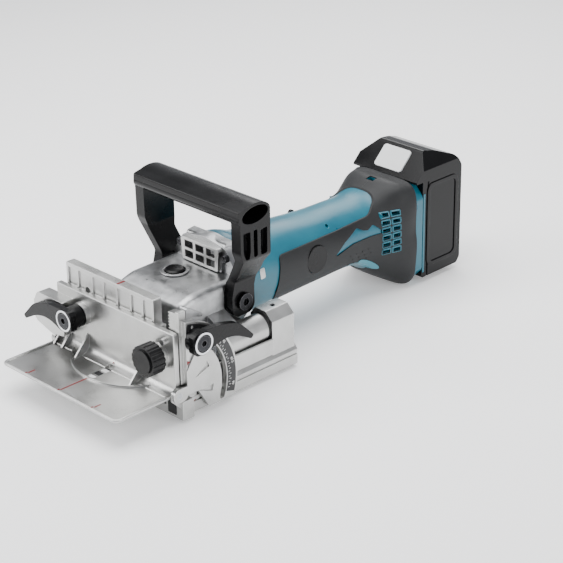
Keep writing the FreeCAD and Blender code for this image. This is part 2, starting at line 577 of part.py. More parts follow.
def make_gear_housing():
    """The cast head: blade hood in front, spindle neck below, gear head and motor flange behind."""
    hood = pad("YZ", "-38", "38", outline([
        (34.6, 52, 3), (34.6, 70, 6), (48, 74.2, 30), (95, 75.4), (95, 40), (52, 40, 8)]))
    hood = fillet(hood, 7, lambda edge: edge.BoundBox.ZMin > 74 and edge.BoundBox.YLength > 20)
    neck = rod("z", "19.2", "deck_top + 0.7", "60", SPINDLE)
    body = pad("XZ", "56", "87", outline([(-25, 20, 6), (25, 20, 6), (33, 48), (33, 60), (-33, 60), (-33, 48)]))
    link = box(("-22", "22"), ("80", "96"), ("26", "74"))
    head = pad("XZ", "93", "shell_front - 0.2", outline([
        (-35, 40, 10), (-20, 24, 10), (20, 24, 10), (35, 40, 10), (35, 78, 9), (24, 95, 9), (0, 99, 40),
        (-24, 95, 9), (-35, 78, 9)]))
    brow = pad("YZ", "-22", "22", outline([
        (90, 76), (96, 76), (size("shell_front") - 0.4, 96), (size("shell_front") - 0.6, 98.6, 2), (95, 97.4, 3)]))
    spigot = rod("y", "16.5", "shell_front - 2", "shell_front + 8", ("0", "motor_height"))
    webs = [pad("XZ", "60", "87", outline([
        (side * 24, 32), (side * 54, 27), (side * 54, 47), (side * 36, 56, 6), (side * 24, 60)][::side]))
        for side in (1, -1)]
    lugs = [rod("x", "boss_radius", low, high, ("boss_back", "boss_height"))
            for low, high in (("18", "boss_inner - 0.3"), ("-boss_inner + 0.3", "-18"))]
    foot_rooms = [box(side, ("77.5", "108"), ("45.8", "110"))
                  for side in (("boss_inner - 0.3", "60"), ("-60", "-boss_inner + 0.3"))]
    screw_arm = pad("XZ", "60", "68", outline([(-47, 51.5, 3), (-36, 48), (-36, 62), (-47, 60.5, 3)]))
    solid = fuse(hood, neck, body, link, head, brow, spigot, *webs, *lugs, screw_arm)
    gear_low = RING_GEAR_LOW - 0.6
    gear_room = rod("z", "16.6", str(gear_low), "67", SPINDLE)
    bearing_bore = rod("z", "15", "deck_top", str(gear_low + 1), SPINDLE)
    motor_bore = rod("y", "9", "58", "shell_front + 9", ("0", "motor_height"))
    motor_bearing_bore = rod("y", "13", "shell_front + 0.5", "shell_front + 9", ("0", "motor_height"))
    grille_room = box(("-18.5", "18.5"), ("88", "102"), ("78", "93"))
    sleeve_seats = [rod("y", "sleeve_radius", "sleeve_front - 1", "sleeve_rear + 1", (f"{side}rod_side", "rod_height"))
                    for side in ("", "-")]
    grille_seat = pad("XZ", "86", "93.05", outline(GRILLE_OUTLINE))
    bolt_holes = [rod("x", "4", low, high, ("boss_back", "boss_height"))
                  for low, high in (("24", "38"), ("-38", "-24"))]
    stop_hole = rod("y", "2.6", "59", "69", STOP_SCREW)
    nut_room = box(("-47.4", "-37.4"), ("68", "75.2"), ("51.4", "62"))
    lock_well = rod("z", "8.6", "71", "80", LOCK_BUTTON)
    lock_stem_hole = rod("z", "2.4", "60", "80", LOCK_BUTTON)
    cover_holes = [rod("y", "1.9", "86", "101", spot) for spot in COVER_SCREWS]
    keep("gear_housing", cut(solid, gear_room, bearing_bore, motor_bore, motor_bearing_bore, grille_seat,
                             grille_room, *foot_rooms, *sleeve_seats, *bolt_holes, stop_hole, nut_room,
                             lock_well, lock_stem_hole, *cover_holes))


def make_housing_fittings():
    sleeves = [cut(rod("y", "sleeve_radius", "sleeve_front", "sleeve_rear", at),
                   rod("y", "sleeve_bore", "sleeve_front - 1", "sleeve_rear + 1", at))
               for at in (("rod_side", "rod_height"), ("-rod_side", "rod_height"))]
    keep("guide_sleeves", group(*sleeves))

    frame = pad("XZ", "88", "93", outline(GRILLE_OUTLINE))
    windows = [box((str(x), str(x + 9.6)), ("87", "94"), (str(z), str(z + 6.2)))
               for x in (-17.1, -4.8, 7.5) for z in (78.4, 86.6)]
    keep("gear_grille", cut(frame, *windows))
    screws = []
    for x, z in COVER_SCREWS:
        screw = turned("y", "89.6", (x, z), [(0, 2.6), (0.8, 3.4), (3.4, 3.4), (3.4, 1.85), (11, 1.85)])
        cross = [box((str(x - a), str(x + a)), ("89", "91.2"), (str(z - b), str(z + b)))
                 for a, b in ((1.9, 0.4), (0.4, 1.9))]
        screws.append(cut(screw, *cross))
    keep("cover_screws", group(*screws))

    screw = rod("y", "2.5", "48.6", "74.4", STOP_SCREW)
    slot = box(("-46", "-39"), ("73.2", "75"), ("55.6", "56.4"))
    keep("depth_screw", cut(screw, slot))
    nut = pad("XZ", "68.1", "71.9", outline(hexagon(STOP_SCREW, 4.2)))
    keep("depth_nut", cut(nut, rod("y", "2.5", "60", "75", STOP_SCREW)))

    button = turned("z", "64", LOCK_BUTTON, [(0, 2.2), (11.4, 2.2), (11.4, 8.2), (12.6, 8.2), (13.6, 6.6), (13.9, 2)])
    keep("lock_button", button)
    rings = [bearing("z", 25, 33, 15, 6.05, SPINDLE), bearing("z", 36, 43, 15, 6.05, SPINDLE)]
    keep("spindle_bearings", group(*rings))
    height = ("0", "motor_height")
    keep("motor_bearings", group(bearing("y", 106, 112.8, 13, 4.05, height), bearing("y", 198, 204, 10, 4.05, height)))


def bearing(axis, low, high, outer, inner, across):
    """A shielded ball bearing, kept as one ring with a shallow groove in each face."""
    middle = (outer + inner) / 2
    body = rod(axis, str(outer), str(low), str(high), across)
    bore = rod(axis, str(inner), str(low - 1), str(high + 1), across)
    grooves = [cut(rod(axis, str(middle + 1.4), str(a), str(a + 0.6), across),
                   rod(axis, str(middle - 1.4), str(a - 1), str(a + 2), across)) for a in (low - 0.2, high - 0.4)]
    return cut(body, bore, *grooves)


def make_blade_train():
    blade = size("blade_height")
    keep("spindle", turned("z", "0", SPINDLE, [
        (5.4, 4.9), (blade + 1.4, 4.9), (blade + 1.4, 11), (blade + 4, 11), (blade + 6, 7), (24.8, 7), (24.8, 6),
        (RING_GEAR_LOW - 0.4, 6), (RING_GEAR_LOW - 0.4, 5), (RING_GEAR_LOW + 11, 5)]))
    keep("ring_gear", ring_gear())
    keep("saw_blade", saw_blade())
    nut = rod("z", "10.4", "5.4", "blade_height - blade_half", SPINDLE)
    bore = rod("z", "4.9", "4", "12", SPINDLE)
    pin_holes = [rod("z", "1.4", "4", "7.4", (x, size("blade_back"))) for x in (-7.4, 7.4)]
    keep("blade_nut", cut(nut, bore, *pin_holes))


def ring_gear():
    """Bevel wheel on the spindle, its teeth on the upper face."""
    low = RING_GEAR_LOW
    wheel = turned("z", "0", SPINDLE, [(low, 10), (low + 3, 14.6), (low + 8, 15.2), (low + 8, 9), (low + 10, 8)])
    teeth = [pad("XY", str(low + 7.5), str(low + 10.2), tooth)
             for tooth in spokes(30, 9.6, 15, 0.5, 0.8, size("blade_back"))]
    bore = rod("z", "5", str(low - 1), str(low + 11), SPINDLE)
    return cut(fuse(wheel, *teeth), bore)


def spokes(count, inner, outer, inner_half, outer_half, back):
    """Radial teeth around (0, back), each wider at its outer end."""
    loops = []
    for i in range(count):
        angle = 2 * math.pi * i / count
        way = Vector(math.cos(angle), math.sin(angle), 0)
        side = Vector(-way.y, way.x, 0)
        middle = Vector(0, back, 0)
        spots = [middle + way * inner - side * inner_half, middle + way * outer - side * outer_half,
                 middle + way * outer + side * outer_half, middle + way * inner + side * inner_half]
        loops.append(outline([(spot.x, spot.y) for spot in spots]))
    return loops


def saw_blade():
    """Disc with six teeth behind round gullets, each tipped a little wider than the disc."""
    back = size("blade_back")
    radius = size("blade_radius")
    disc = rod("z", str(radius - 2.4), "blade_height - blade_half", "blade_height + blade_half", SPINDLE)
    count = 6
    tips, gullets, shoulders = [], [], []
    for i in range(count):
        start = 360 / count * i
        centre = (0, back)
        shoulders.append(pad("XY", "blade_height - blade_half", "blade_height + blade_half", outline([
            polar(radius - 6, start - 16, centre), polar(radius - 2.6, start - 16, centre),
            polar(radius - 0.6, start, centre), polar(radius - 12, start, centre)])))
        tips.append(pad("XY", "blade_height - 1.95", "blade_height + 1.95", outline([
            polar(radius - 7, start, centre), polar(radius, start, centre),
            polar(radius - 0.3, start + 3.2, centre), polar(radius - 7, start + 2.2, centre)])))
        gullets.append(rod("z", "5", "5", "15", polar(radius - 5.2, start + 8.6, centre)))
    arbor = rod("z", "4.9", "5", "15", SPINDLE)
    return cut(fuse(cut(fuse(disc, *shoulders), *gullets), *tips), arbor)


# ---------------------------------------------------------------- motor

def make_armature():
    height = ("0", "motor_height")
    keep("armature_shaft", turned("y", "64.6", height, [
        (0, 2.4), (7.4, 2.4), (7.4, 3.4), (36, 3.4), (36, 4), (141, 4)]))
    teeth = []
    centre = (0, size("motor_height"))
    for i in range(9):
        teeth += [polar(3.1, 40 * i - 12, centre), polar(4.4, 40 * i - 6, centre),
                  polar(4.4, 40 * i + 6, centre), polar(3.1, 40 * i + 12, centre)]
    pinion = pad("XZ", "64.8", "71.8", outline(teeth))
    keep("pinion_gear", cut(pinion, rod("y", "2.4", "60", "75", height)))
    shaft = rod("y", "4", "110", "200", height)
    core = rod("y", "20.8", "132", "172", height)
    slots = [rod("y", "2.6", "131", "173", polar(18.4, 30 * i, (0, size("motor_height")))) for i in range(12)]
    keep("armature_core", cut(core, *slots, shaft))
    bars = rod("y", "11", "178", "196", height)
    keep("commutator", cut(bars, rod("y", "4", "177", "197", height)))
    disc = rod("y", "24.6", "117", "119", height)
    hub = rod("y", "8", "117", "127", height)
    blades = [pad("XZ", "119", "127", vane) for vane in spokes(14, 7.6, 24, 0.7, 0.7, size("motor_height"))]
    bore = rod("y", "4", "116", "128", height)
    keep("cooling_fan", cut(fuse(disc, hub, *blades), bore))
    yoke = cut(rod("y", "25.2", "130", "175", height), rod("y", "22.2", "129", "177", height))
    keep("motor_yoke", yoke)


# Sections of the motor shells along Y: (y, half width, half height, centre height, squareness).
SHELL = [(105, 34, 36.5, 60, 2.2), (125, 32, 33.4, 59.3, 2.2), (150, 30.8, 31, 58.3, 2.2), (180, 30, 29.8, 57.3, 2.2),
         (210, 29.4, 28.6, 55.8, 2.2), (240, 29.2, 28.4, 55.2, 2.2), (256, 29.8, 30.4, 52.9, 2.3),
         (268, 31.5, 35.6, 49.6, 2.6), (279, 34, 41.4, 48.4, 3.2), (289, 36, 45, 46.4, 4.5), (300, 36.6, 45.4, 46.1, 6)]


def section(back, half_width, half_height, centre, square, grow):
    """A closed superellipse at y = back, grown by the given amount."""
    a, b = half_width + grow, half_height + grow
    points = []
    for i in range(32):
        angle = 2 * math.pi * i / 32
        c, s_ = math.cos(angle), math.sin(angle)
        points.append(Vector(math.copysign(abs(c) ** (2 / square), c) * a, back,
                             centre + math.copysign(abs(s_) ** (2 / square), s_) * b))
    spline = Part.BSplineCurve()
    spline.interpolate(points, PeriodicFlag=True)
    return Part.Wire([spline.toShape()])


def barrel(grow, first=0, last=0):
    """The lofted barrel grown by a skin; first and last push its end sections out along Y."""
    wires = [section(*row, grow) for row in SHELL]
    wires[0].translate(Vector(0, -first, 0))
    wires[-1].translate(Vector(0, last, 0))
    return Part.makeLoft(wires, True, False)


def half_space(side, gap=0):
    low = gap if side > 0 else -80 - gap
    return Part.makeBox(80, 400, 260, Vector(low, 0, -60))


def outline_prism(loop, low, high):
    """A prism along X over a closed outline in the YZ plane."""
    wire = Part.Wire(Part.__sortEdges__([piece.toShape() for piece in loop]))
    face = Part.Face(wire)
    face.rotate(Vector(), Vector(1, 1, 1), 120)
    face.translate(Vector(low, 0, 0))
    return face.extrude(Vector(high - low, 0, 0))


# The dark overmould seen from the side: a panel along the barrel that widens over the flare.
MOULD = [(141, 44, 6), (146, 74, 4), (214, 73, 20), (254, 74, 14), (270, 84, 20), (280, 112), (299.6, 112),
         (299.6, -6), (276, -6), (258, 27, 14), (238, 38, 30), (200, 36, 40), (144, 32, 6)]
# The bare swoosh left inside it.
SWOOSH = [(206, 52, 1), (219.5, 61.7, 12), (236.5, 69.5, 3), (243, 65.5, 4), (248.4, 64.2, 3), (255, 67.4, 3),
          (267, 57.2, 1), (251.7, 58, 20), (230, 57.6, 18)]
VENTS = [(back, 70 - 6.4 * i) for back in (264.6, 274.4) for i in range(6)]
BRUSH_CAP = (187, 58)


def make_shells():
    wall = size("shell_wall")
    skin = size("mould_skin")
    middle = size("motor_height")
    outer = barrel(0)
    room = barrel(-wall, 1, 1)
    grown = barrel(skin)
    inner = barrel(0.02)
    mould = outline_prism(outline(MOULD), -80, 80).cut(outline_prism(outline(SWOOSH), -80, 80))
    cap_room = Part.makeCylinder(11.8, 120, Vector(-60, *BRUSH_CAP), Vector(1, 0, 0))
    vents = [Part.makeBox(120, 7, 3.4, Vector(-60, y, z)) for y, z in VENTS]
    top_notch = Part.makeBox(8, 6, 8, Vector(-4, 281, 88.6))
    screw_room = [Part.makeCylinder(3, 60, Vector(-79.8, *spot), Vector(1, 0, 0)) for spot in SHELL_SCREWS]
    screw_room += [Part.makeCylinder(1.5, 50, Vector(-25, *spot), Vector(1, 0, 0)) for spot in SHELL_SCREWS]
    ribs = [ring_wall(room, 134, 3, 25.28, middle), ring_wall(room, 199, 4, 10.04, middle),
            ring_wall(room, 290, 3, 12, 45)]
    for side, name in ((1, "left"), (-1, "right")):
        half = half_space(side, 0.02)
        shell = outer.cut(room).common(half)
        bosses = [screw_boss(room, spot, side) for spot in SHELL_SCREWS]
        shell = shell.fuse([rib.common(half) for rib in ribs] + [boss.common(half) for boss in bosses])
        for hole in screw_room:
            shell = shell.cut(hole)
        openings = [cap_room, *vents, top_notch]
        if side < 0:
            openings.append(Part.makeBox(20, 34, 5.4, Vector(-42, 145, 61.8)))
        keep(f"housing_{name}", feature(shell.cut(openings)))
        panel = grown.common(mould).common(half).cut(inner)
        keep(f"grip_panel_{name}", feature(panel.cut(openings)))


# Screws that hold the shells together, (y, z), each inside a pair of bosses.
SHELL_SCREWS = [(111, 88), (111, 31), (208.5, 77.5), (208.5, 34)]


def screw_boss(room, spot, side):
    """A boss on the inside of one shell, before its screw hole is cut."""
    back, height = spot
    length = 30
    boss = Part.makeCylinder(5, length, Vector(0 if side > 0 else -length, back, height), Vector(1, 0, 0))
    return boss.common(room)


def ring_wall(room, back, thick, radius, height):
    slab = Part.makeBox(120, thick, 200, Vector(-60, back, -30))
    hole = Part.makeCylinder(radius, thick + 2, Vector(0, back - 1, height), Vector(0, 1, 0))
    return room.common(slab).cut(hole)


def make_motor_fittings():
    caps, brushes = [], []
    for side in (1, -1):
        start = 23.6 if side > 0 else -31
        caps.append(rod("x", "11.4", str(start), str(start + 7.4), BRUSH_CAP))
        brush_x = (11.2, 23.4) if side > 0 else (-23.4, -11.2)
        brushes.append(box((str(brush_x[0]), str(brush_x[1])), ("184", "192"), ("56.2", "61.8")))
    keep("brush_caps", group(*caps))
    keep("carbon_brushes", group(*brushes))
    block = box(("-16", "12"), ("216", "244"), ("44", "71"))
    stem_room = box(("-17", "-9"), ("218", "242"), ("61", "67"))
    keep("switch_block", cut(block, stem_room))
    thumb = pad("XZ", "152", "171", outline([(-35.6, 58.4, 1.5), (-32.5, 58.4), (-32.5, 71.4), (-35.2, 71.4, 1.5)]))
    ridges = [box(("-36.2", "-35"), (str(156 + 4 * i), str(157.6 + 4 * i)), ("60", "70")) for i in range(3)]
    stem = box(("-33", "-26"), ("154", "168"), ("62.5", "66.5"))
    keep("switch_slider", fuse(thumb, stem, *ridges))
    make_handle_bolts()
    screws = [turned("x", "-22", spot, [(0, 2.95), (2.2, 2.95), (2.2, 1.45), (24, 1.45)]) for spot in SHELL_SCREWS]
    keep("housing_screws", group(*screws))


def make_handle_bolts():
    bolts = []
    head = (size("boss_outer") - 1, size("boss_outer") + 3)
    for side in (1, -1):
        start, profile = "25", [(0, 3.95), (head[0] - 25, 3.95), (head[0] - 25, 6.8), (head[1] - 25, 6.8)]
        low, high = str(head[1] - 2.6), str(head[1] + 1)
        if side < 0:
            start = str(-head[1])
            profile = [(0, 6.8), (head[1] - head[0], 6.8), (head[1] - head[0], 3.95), (head[1] - 25, 3.95)]
            low, high = f"-{high}", f"-{low}"
        bolt = turned("x", start, ("boss_back", "boss_height"), profile)
        socket = pad("YZ", low, high, outline(hexagon((size("boss_back"), size("boss_height")), 3.3)))
        bolts.append(cut(bolt, socket))
    keep("handle_bolts", group(*bolts))


def make_handle():
    """Inverted U over the head: an oval grip and two ribbed legs that step inwards to a round boss each."""
    grip = pad("YZ", "-handle_half", "handle_half", oval(size("grip_back"), size("grip_height"),
                                                        size("grip_long"), size("grip_short"), 4))
    brow = pad("YZ", "-handle_half", "handle_half", outline([
        (74.9, 135, 1), (75.2, 140.2, 2), (90, 143.4), (90, 132)]))
    hollow = pad("YZ", "-handle_half - 1", "handle_half + 1", oval(size("grip_back") + 0.6, size("grip_height"),
                                                                  size("grip_long") - 2.9, size("grip_short") - 2.4, 4))
    outer, thick = size("handle_half"), size("leg_thick")
    foot_in, foot_out = size("boss_inner"), size("boss_outer")
    legs, channels, bores, seats = [], [], [], []
    for side in (1, -1):
        profile = pad("YZ", "-handle_half", "handle_half", outline([
            (76, 136), (76.4, 105, 8), (79, 98, 8), (82, 78, 8), (79, 66, 6), (79, 52, 7), (84, 48, 5), (97, 48, 5),
            (102, 52, 7), (102, 70, 6), (105.4, 82, 6), (104, 92, 4), (107, 97, 4), (107.2, 134)]))
        jog = [(outer - thick, 137), (outer, 137), (outer, 99, 6), (foot_out, 77, 6), (foot_out, 44), (foot_in, 44),
               (foot_in, 75, 6), (outer - thick, 97, 6)]
        band = pad("XZ", "60", "120", outline([(side * corner[0], *corner[1:]) for corner in jog][::side]))
        legs.append(common(profile, band))
        cut_low, cut_high = ("handle_half - 5", "handle_half + 1") if side > 0 else (
            "-handle_half - 1", "-handle_half + 5")
        channels += [pad("YZ", cut_low, cut_high, outline(loop)) for loop in (
            [(79, 122, 1), (79, 106, 2), (81.6, 100, 2), (85, 100, 1), (86.4, 106, 2), (86.4, 122, 1)],
            [(89.6, 122, 1), (89.6, 100, 2), (93.6, 100, 2), (93.6, 122, 1)],
            [(96.8, 120.4, 1), (96.8, 100, 2), (103.4, 100, 2), (103.8, 121.4, 1)])]
        spans = (("boss_inner", "boss_outer + 1"), ("boss_outer - 1", "boss_outer + 4"))
        if side < 0:
            spans = (("-boss_outer - 1", "-boss_inner"), ("-boss_outer - 4", "-boss_outer + 1"))
        bores.append(rod("x", "4.1", *spans[0], ("boss_back", "boss_height")))
        seats.append(rod("x", "7.2", *spans[1], ("boss_back", "boss_height")))
    keep("d_handle", cut(fuse(grip, brow, *legs), hollow, *channels, *bores, *seats))


# ---------------------------------------------------------------- battery

SLOPE_FOOT = (300.6, 92.5)
SLOPE_TOP = (321.3, 113)
SLOPE_ANGLE = math.degrees(math.atan2(SLOPE_TOP[1] - SLOPE_FOOT[1], SLOPE_TOP[0] - SLOPE_FOOT[0]))


def on_slope(shape):
    """Place a shape built at the origin on the middle of the battery's sloping brow."""
    spot = Vector(0, (SLOPE_FOOT[0] + SLOPE_TOP[0]) / 2, (SLOPE_FOOT[1] + SLOPE_TOP[1]) / 2)
    shape.Placement = Placement(spot, Rotation(Vector(1, 0, 0), SLOPE_ANGLE))
    return shape


def local_pad(width, height, low, high, radius):
    body = unique("PartDesign::Body", "Pad")
    sketch = sketch_in(body, "XY_Plane", rectangle(-width / 2, width / 2, -height / 2, height / 2, radius))
    sketch.AttachmentOffset = Placement(Vector(0, 0, low), Rotation())
    block = body.newObject("PartDesign::Pad", "Depth")
    block.Profile = sketch
    block.Length = high - low
    return on_slope(body)


def make_battery():
    seat = pad("XZ", "seat_front", "seat_rear", outline([
        (-27, 1, 5), (27, 1, 5), (36.9, 12, 6), (36.9, 78, 8), (26, 90.4, 6), (-26, 90.4, 6), (-36.9, 78, 8),
        (-36.9, 12, 6)]))
    wire_hole = rod("y", "9", "seat_front - 1", "seat_rear + 1", ("0", "38"))
    keep("battery_seat", cut(seat, wire_hole))
    block = box(("-11", "11"), ("seat_rear", "seat_rear + 5"), ("12", "62"))
    blades = [box((str(x), str(x + 1)), ("seat_rear + 4.5", "seat_rear + 8"), ("20", "34")) for x in (-8, 7)]
    keep("terminal_block", fuse(block, *blades))

    front, rear = size("battery_front"), size("battery_rear")
    profile = pad("YZ", "-battery_half", "battery_half", outline([
        (front, 3, 2), (rear - 4, 3, 3), (rear, 8, 4), (rear, 94, 7), (352, 103.8, 6), (334, 110.5, 20),
        (*SLOPE_TOP, 5), SLOPE_FOOT, (SLOPE_FOOT[0], 90.8), (front, 90.8)]))
    bevels = [pad("XZ", "290", "370", outline([
        (side * 24, 121), (side * 24, 112.6), (side * 36.4, 100.5), (side * 40, 100.5), (side * 40, 121)][::side]))
        for side in (1, -1)]
    channel = box(("-12", "12"), ("battery_front - 1", "battery_front + 9"), ("0", "70"))
    well = local_pad(30.8, 21.8, -5.6, 6, 3)
    grooves = [box((low, high), ("battery_front + 6", "battery_front + 8"), ("-1", "90"))
               for low, high in (("battery_half - 0.9", "battery_half + 1"), ("-battery_half - 1", "-battery_half + 0.9"))]
    case = cut(profile, *bevels, channel, well, *grooves)
    keep("battery_case", case)
    keep("battery_button", local_pad(30, 21, -2.8, 1.2, 2.6))


def make_springs():
    """Return springs on the rods, between the uprights and the sleeves."""
    coils = []
    start = size("upright_front") + size("upright_depth") + 0.4
    length = size("sleeve_front") - 0.4 - start
    for side in (1, -1):
        wire = 0.8
        helix = Part.makeHelix(length / 6.5 * 0.96, length - 2 * wire, 6.9)
        circle = Part.Wire([Part.Circle(Vector(6.9, 0, 0), Vector(0, 1, 0), wire).toShape()])
        coil = Part.Wire(helix.Edges).makePipeShell([circle], True, True)
        coil.rotate(Vector(), Vector(1, 0, 0), -90)
        coil.translate(Vector(side * size("rod_side"), start + wire, size("rod_height")))
        coils.append(coil)
    keep("return_springs", feature(Part.makeCompound(coils)))


def make_dust_nozzle():
    """Spout that plugs into the port on the sled's side and widens for the hose."""
    outer = "-base_half"
    spigot = turned("x", f"{outer} - 44", PORT, [(0, 11.4), (1.5, 12), (30, 12), (34, 11), (39.6, 11), (39.6, 8.4),
                                                 (53, 8.2)])
    bore = turned("x", f"{outer} - 45", PORT, [(0, 10.2), (32, 10.2), (38, 6.8), (55, 6.8)])
    keep("dust_nozzle", cut(spigot, bore))


make_gear_housing()
make_housing_fittings()
make_blade_train()
make_armature()
make_shells()
make_motor_fittings()
make_handle()
make_battery()
make_springs()
make_dust_nozzle()


# ---------------------------------------------------------------- check and write

doc.recompute()
failed = [thing.Name for thing in doc.Objects if {"Invalid", "Error"} & set(thing.State)]
if failed:
    raise RuntimeError(f"these objects failed: {failed}")
os.makedirs("parts", exist_ok=True)
for name, thing in nodes.items():
    shape = thing.Shape
    if shape.isNull() or not shape.isValid() or not shape.Solids:
        raise RuntimeError(f"{name} has no valid solid")
    moved = shape.translated(Vector(0, -size("face_front"), 0))
    moved.exportStep(f"parts/{name}.step")
print(f"{len(nodes)} sub-parts written")
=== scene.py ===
import json
import math

import bmesh
import bpy
from mathutils import Matrix, Vector


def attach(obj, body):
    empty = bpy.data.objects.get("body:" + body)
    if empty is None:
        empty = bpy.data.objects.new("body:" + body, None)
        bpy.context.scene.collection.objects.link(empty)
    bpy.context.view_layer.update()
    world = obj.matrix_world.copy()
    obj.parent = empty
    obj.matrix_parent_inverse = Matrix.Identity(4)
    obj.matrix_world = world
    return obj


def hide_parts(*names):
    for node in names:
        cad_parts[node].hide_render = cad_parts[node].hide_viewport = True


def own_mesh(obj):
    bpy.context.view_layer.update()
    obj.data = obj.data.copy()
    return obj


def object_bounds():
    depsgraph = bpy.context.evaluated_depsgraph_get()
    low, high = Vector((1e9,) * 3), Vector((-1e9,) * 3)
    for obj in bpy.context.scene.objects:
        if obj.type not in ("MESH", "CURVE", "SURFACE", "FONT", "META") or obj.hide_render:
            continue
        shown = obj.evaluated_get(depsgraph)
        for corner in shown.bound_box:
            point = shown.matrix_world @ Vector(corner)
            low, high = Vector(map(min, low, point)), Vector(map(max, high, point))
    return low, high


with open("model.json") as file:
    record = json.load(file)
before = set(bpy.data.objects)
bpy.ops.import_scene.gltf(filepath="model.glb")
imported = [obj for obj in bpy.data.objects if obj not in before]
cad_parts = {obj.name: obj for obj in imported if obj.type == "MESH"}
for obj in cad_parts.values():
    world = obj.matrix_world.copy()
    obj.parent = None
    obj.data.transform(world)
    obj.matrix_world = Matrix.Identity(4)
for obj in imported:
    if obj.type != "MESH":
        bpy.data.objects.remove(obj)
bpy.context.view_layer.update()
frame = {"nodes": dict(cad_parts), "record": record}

MM = 0.001
# The part's drawings start from the face of the fence; the row frame starts at the sole's front edge.
FENCE_FACE = -2.6


def at(x, y, z):
    """A point in metres from millimetres measured from the fence's face and the sole."""
    return Vector((x, y + FENCE_FACE, z)) * MM


# ---------------------------------------------------------------- materials

class Paint:
    """A node material built around one Principled shader, in object coordinates."""

    def __init__(self, name, roughness, metallic=0.0):
        self.material = bpy.data.materials.new(name)
        self.material.use_nodes = True
        self.tree = self.material.node_tree
        self.shader = self.tree.nodes["Principled BSDF"]
        self.shader.inputs["Metallic"].default_value = metallic
        self.shader.inputs["Roughness"].default_value = roughness
        self.place = self.node("ShaderNodeTexCoord").outputs["Object"]

    def node(self, kind, **settings):
        made = self.tree.nodes.new(kind)
        for key, value in settings.items():
            setattr(made, key, value)
        return made

    def join(self, source, target):
        self.tree.links.new(source, target)

    def noise(self, size, detail=3.0):
        """Noise whose features are about size millimetres across."""
        texture = self.node("ShaderNodeTexNoise")
        texture.inputs["Scale"].default_value = 1 / (size * MM)
        texture.inputs["Detail"].default_value = detail
        self.join(self.place, texture.inputs["Vector"])
        return texture.outputs["Fac"]

    def spread(self, value, low, high, start=0.3, end=0.7):
        """Map a 0 to 1 value to the range low to high."""
        ranging = self.node("ShaderNodeMapRange")
        for key, number in (("From Min", start), ("From Max", end), ("To Min", low), ("To Max", high)):
            ranging.inputs[key].default_value = number
        self.join(value, ranging.inputs["Value"])
        return ranging.outputs["Result"]

    def blend(self, factor, first, second):
        mix = self.node("ShaderNodeMix", data_type="RGBA")
        self.join(factor, mix.inputs["Factor"])
        for socket, colour in (("A", first), ("B", second)):
            target = [s for s in mix.inputs if s.name == socket and s.type == "RGBA"][0]
            if isinstance(colour, tuple):
                target.default_value = (*colour, 1)
            else:
                self.join(colour, target)
        return [s for s in mix.outputs if s.type == "RGBA"][0]

    def edges(self, reach):
        """Near 1 along edges and 0 on flat ground, from the shape alone; it masks the lighter edge colour,
        part wear and part painted highlight.
        """
        bevel = self.node("ShaderNodeBevel", samples=4)
        bevel.inputs["Radius"].default_value = reach * MM
        geometry = self.node("ShaderNodeNewGeometry")
        dot = self.node("ShaderNodeVectorMath", operation="DOT_PRODUCT")
        self.join(bevel.outputs["Normal"], dot.inputs[0])
        self.join(geometry.outputs["Normal"], dot.inputs[1])
        return self.spread(dot.outputs["Value"], 1.0, 0.0, 0.80, 0.99)

    def colour(self, source):
        self.join(source, self.shader.inputs["Base Color"])

    def rough(self, source):
        self.join(source, self.shader.inputs["Roughness"])

    def relief(self, source, depth, soften):
        """Bump of depth millimetres from a height, over edges that soften rounds in the shading."""
        bevel = self.node("ShaderNodeBevel", samples=4)
        bevel.inputs["Radius"].default_value = soften * MM
        bump = self.node("ShaderNodeBump")
        bump.inputs["Distance"].default_value = depth * MM
        self.join(source, bump.inputs["Height"])
        self.join(bevel.outputs["Normal"], bump.inputs["Normal"])
        self.join(bump.outputs["Normal"], self.shader.inputs["Normal"])


def metal(name, dark, light, roughness, grain=0.6, depth=0.01, patch=18, edge=None):
    """Bare or coated metal: fine grain, soft cloudy patches, edges lighter in colour as part wear and part
    painted highlight.
    """
    soften = 0.35
    wear = 0.15
    paint = Paint(name, roughness, metallic=1.0)
    fine = paint.noise(grain, 4)
    cloud = paint.noise(patch, 3)
    body = paint.blend(paint.spread(cloud, 0, 1), dark, light)
    # Edges painted lighter: partly edge wear, partly a painted highlight along the edges.
    if edge:
        body = paint.blend(paint.edges(soften * 2), body, edge)
    paint.colour(body)
    speck = paint.node("ShaderNodeMath", operation="ADD")
    paint.join(paint.spread(fine, -wear / 2, wear / 2), speck.inputs[0])
    paint.join(paint.spread(cloud, roughness - wear / 3, roughness + wear / 3), speck.inputs[1])
    paint.rough(speck.outputs[0])
    paint.relief(fine, depth, soften)
    return paint.material


def plastic(name, dark, light, roughness, grain=0.5, depth=0.02, edge=None, gloss=0.5):
    """Moulded plastic or rubber: an eroded mould texture with faint cloudiness and edges painted lighter,
    partly handling wear and partly a painted highlight.
    """
    soften = 0.4
    cloud_size = 30
    paint = Paint(name, roughness)
    fine = paint.noise(grain, 2)
    cloud = paint.noise(cloud_size, 4)
    body = paint.blend(paint.spread(cloud, 0, 1), dark, light)
    # Edges painted lighter: partly handling wear, partly a painted highlight along the edges.
    if edge:
        body = paint.blend(paint.edges(soften * 2), body, edge)
    paint.colour(body)
    paint.rough(paint.spread(cloud, roughness - 0.05, roughness + 0.06))
    paint.relief(fine, depth, soften)
    paint.shader.inputs["Specular IOR Level"].default_value = gloss
    return paint.material


